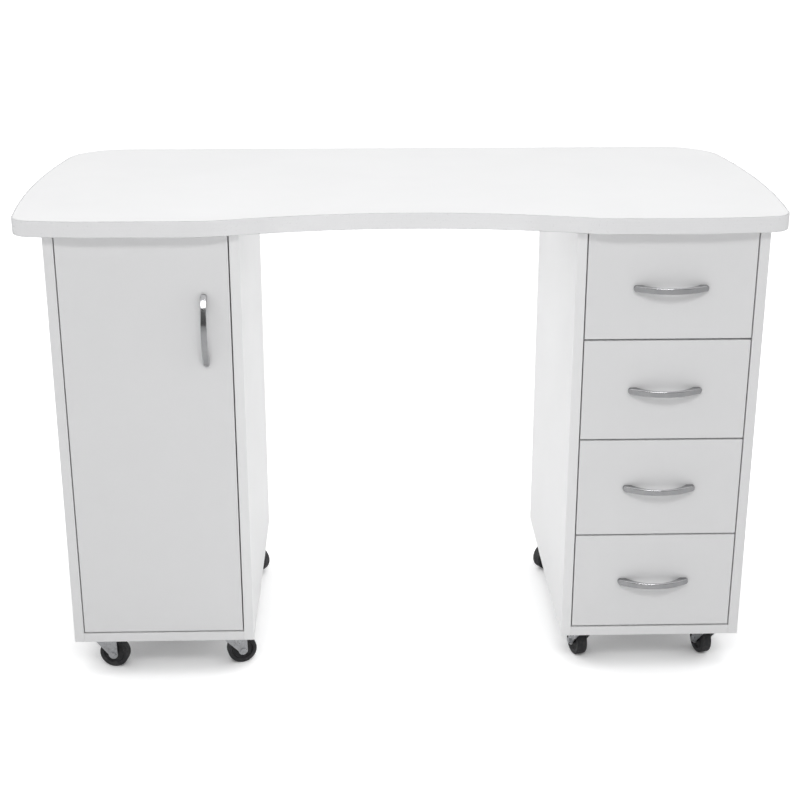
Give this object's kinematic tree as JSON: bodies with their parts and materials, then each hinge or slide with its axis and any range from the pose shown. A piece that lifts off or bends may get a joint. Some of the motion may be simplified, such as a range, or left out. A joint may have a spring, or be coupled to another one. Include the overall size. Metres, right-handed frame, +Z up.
{
  "type": "manicure table",
  "caption": "Manicure desk: concave-fronted white top on two caster pedestals, one with a hinged cupboard door, the other with a stack of drawers.",
  "frame": {"origin": "on the floor, under the centre of the tabletop's plan", "axes": "+X to the right facing the drawer fronts (along the tabletop), +Y from the fronts to the rear edge, +Z up"},
  "size_m": [1.224, 0.6, 0.791],
  "materials": {
    "white_melamine": "satin white melamine-faced chipboard",
    "edge_band": "satin white edge banding",
    "drawer_board": "white melamine, 12 mm board",
    "white_fibreboard": "thin white-faced fibreboard",
    "chrome": "polished chrome plate",
    "zinc_steel": "bright zinc plate",
    "white_steel": "white powder coat",
    "beech": "plain beech",
    "black_wheel": "moulded black"
  },
  "bodies": {
    "root": {"tabletop": "white_melamine", "tabletop_edge_band": "edge_band", "left_cabinet_outer_side": "white_melamine", "left_cabinet_inner_side": "white_melamine", "left_cabinet_bottom": "white_melamine", "left_cabinet_rails": "white_melamine", "left_cabinet_back": "white_fibreboard", "left_shelf": "white_melamine", "left_shelf_pins": "zinc_steel", "right_cabinet_outer_side": "white_melamine", "right_cabinet_inner_side": "white_melamine", "right_cabinet_bottom": "white_melamine", "right_cabinet_rails": "white_melamine", "right_cabinet_back": "white_fibreboard", "door_hinge_arms": "zinc_steel", "drawer_channels": "white_steel", "caster_plates": "zinc_steel", "caster_screws": "zinc_steel", "cabinet_dowels": "beech", "tabletop_screws": "zinc_steel"},
    "door": {"door_panel": "white_melamine", "door_handle": "chrome", "door_hinge_cups": "zinc_steel"},
    "drawer_1": {"drawer_1_front": "white_melamine", "drawer_1_box": "drawer_board", "drawer_1_bottom": "white_fibreboard", "drawer_1_handle": "chrome", "drawer_1_runners": "white_steel"},
    "drawer_2": {"drawer_2_front": "white_melamine", "drawer_2_box": "drawer_board", "drawer_2_bottom": "white_fibreboard", "drawer_2_handle": "chrome", "drawer_2_runners": "white_steel"},
    "drawer_3": {"drawer_3_front": "white_melamine", "drawer_3_box": "drawer_board", "drawer_3_bottom": "white_fibreboard", "drawer_3_handle": "chrome", "drawer_3_runners": "white_steel"},
    "drawer_4": {"drawer_4_front": "white_melamine", "drawer_4_box": "drawer_board", "drawer_4_bottom": "white_fibreboard", "drawer_4_handle": "chrome", "drawer_4_runners": "white_steel"},
    "fork_front_left": {"caster_fork_front_left": "zinc_steel"},
    "wheel_front_left": {"caster_wheel_front_left": "black_wheel"},
    "fork_front_mid_left": {"caster_fork_front_mid_left": "zinc_steel"},
    "wheel_front_mid_left": {"caster_wheel_front_mid_left": "black_wheel"},
    "fork_front_mid_right": {"caster_fork_front_mid_right": "zinc_steel"},
    "wheel_front_mid_right": {"caster_wheel_front_mid_right": "black_wheel"},
    "fork_front_right": {"caster_fork_front_right": "zinc_steel"},
    "wheel_front_right": {"caster_wheel_front_right": "black_wheel"},
    "fork_rear_left": {"caster_fork_rear_left": "zinc_steel"},
    "wheel_rear_left": {"caster_wheel_rear_left": "black_wheel"},
    "fork_rear_mid_left": {"caster_fork_rear_mid_left": "zinc_steel"},
    "wheel_rear_mid_left": {"caster_wheel_rear_mid_left": "black_wheel"},
    "fork_rear_mid_right": {"caster_fork_rear_mid_right": "zinc_steel"},
    "wheel_rear_mid_right": {"caster_wheel_rear_mid_right": "black_wheel"},
    "fork_rear_right": {"caster_fork_rear_right": "zinc_steel"},
    "wheel_rear_right": {"caster_wheel_rear_right": "black_wheel"}
  },
  "joints": [
    {"name": "door_hinge", "type": "hinge", "parent": "root", "child": "door", "pos_m": [-0.533, -0.276, 0.424], "axis": [0, 0, -1], "range_deg": [0, 105]},
    {"name": "drawer_1_slide", "type": "slide", "parent": "root", "child": "drawer_1", "axis": [0, -1, 0], "range_m": [0, 0.3]},
    {"name": "drawer_2_slide", "type": "slide", "parent": "root", "child": "drawer_2", "axis": [0, -1, 0], "range_m": [0, 0.3]},
    {"name": "drawer_3_slide", "type": "slide", "parent": "root", "child": "drawer_3", "axis": [0, -1, 0], "range_m": [0, 0.3]},
    {"name": "drawer_4_slide", "type": "slide", "parent": "root", "child": "drawer_4", "axis": [0, -1, 0], "range_m": [0, 0.3]},
    {"name": "swivel_front_left", "type": "hinge", "parent": "root", "child": "fork_front_left", "pos_m": [-0.509, -0.231, 0.05], "axis": [0, 0, 1], "continuous": true},
    {"name": "wheel_spin_front_left", "type": "hinge", "parent": "fork_front_left", "child": "wheel_front_left", "pos_m": [-0.49226, -0.23395, 0.025], "axis": [0.1736, 0.9848, 0], "continuous": true},
    {"name": "swivel_front_mid_left", "type": "hinge", "parent": "root", "child": "fork_front_mid_left", "pos_m": [-0.293, -0.231, 0.05], "axis": [0, 0, 1], "continuous": true},
    {"name": "wheel_spin_front_mid_left", "type": "hinge", "parent": "fork_front_mid_left", "child": "wheel_front_mid_left", "pos_m": [-0.27666, -0.22631, 0.025], "axis": [-0.2756, 0.9613, 0], "continuous": true},
    {"name": "swivel_front_mid_right", "type": "hinge", "parent": "root", "child": "fork_front_mid_right", "pos_m": [0.31, -0.231, 0.05], "axis": [0, 0, 1], "continuous": true},
    {"name": "wheel_spin_front_mid_right", "type": "hinge", "parent": "fork_front_mid_right", "child": "wheel_front_mid_right", "pos_m": [0.30531, -0.21466, 0.025], "axis": [-0.9613, -0.2756, 0], "continuous": true},
    {"name": "swivel_front_right", "type": "hinge", "parent": "root", "child": "fork_front_right", "pos_m": [0.526, -0.231, 0.05], "axis": [0, 0, 1], "continuous": true},
    {"name": "wheel_spin_front_right", "type": "hinge", "parent": "fork_front_right", "child": "wheel_front_right", "pos_m": [0.52189, -0.21451, 0.025], "axis": [-0.9703, -0.2419, 0], "continuous": true},
    {"name": "swivel_rear_left", "type": "hinge", "parent": "root", "child": "fork_rear_left", "pos_m": [-0.515, 0.129, 0.05], "axis": [0, 0, 1], "continuous": true},
    {"name": "wheel_spin_rear_left", "type": "hinge", "parent": "fork_rear_left", "child": "wheel_rear_left", "pos_m": [-0.52972, 0.1375, 0.025], "axis": [-0.5, -0.866, 0], "continuous": true},
    {"name": "swivel_rear_mid_left", "type": "hinge", "parent": "root", "child": "fork_rear_mid_left", "pos_m": [-0.287, 0.129, 0.05], "axis": [0, 0, 1], "continuous": true},
    {"name": "wheel_spin_rear_mid_left", "type": "hinge", "parent": "fork_rear_mid_left", "child": "wheel_rear_mid_left", "pos_m": [-0.27228, 0.1205, 0.025], "axis": [0.5, 0.866, 0], "continuous": true},
    {"name": "swivel_rear_mid_right", "type": "hinge", "parent": "root", "child": "fork_rear_mid_right", "pos_m": [0.304, 0.129, 0.05], "axis": [0, 0, 1], "continuous": true},
    {"name": "wheel_spin_rear_mid_right", "type": "hinge", "parent": "fork_rear_mid_right", "child": "wheel_rear_mid_right", "pos_m": [0.29007, 0.11925, 0.025], "axis": [0.5736, -0.8192, 0], "continuous": true},
    {"name": "swivel_rear_right", "type": "hinge", "parent": "root", "child": "fork_rear_right", "pos_m": [0.532, 0.129, 0.05], "axis": [0, 0, 1], "continuous": true},
    {"name": "wheel_spin_rear_right", "type": "hinge", "parent": "fork_rear_right", "child": "wheel_rear_right", "pos_m": [0.5405, 0.14372, 0.025], "axis": [-0.866, 0.5, 0], "continuous": true}
  ]
}
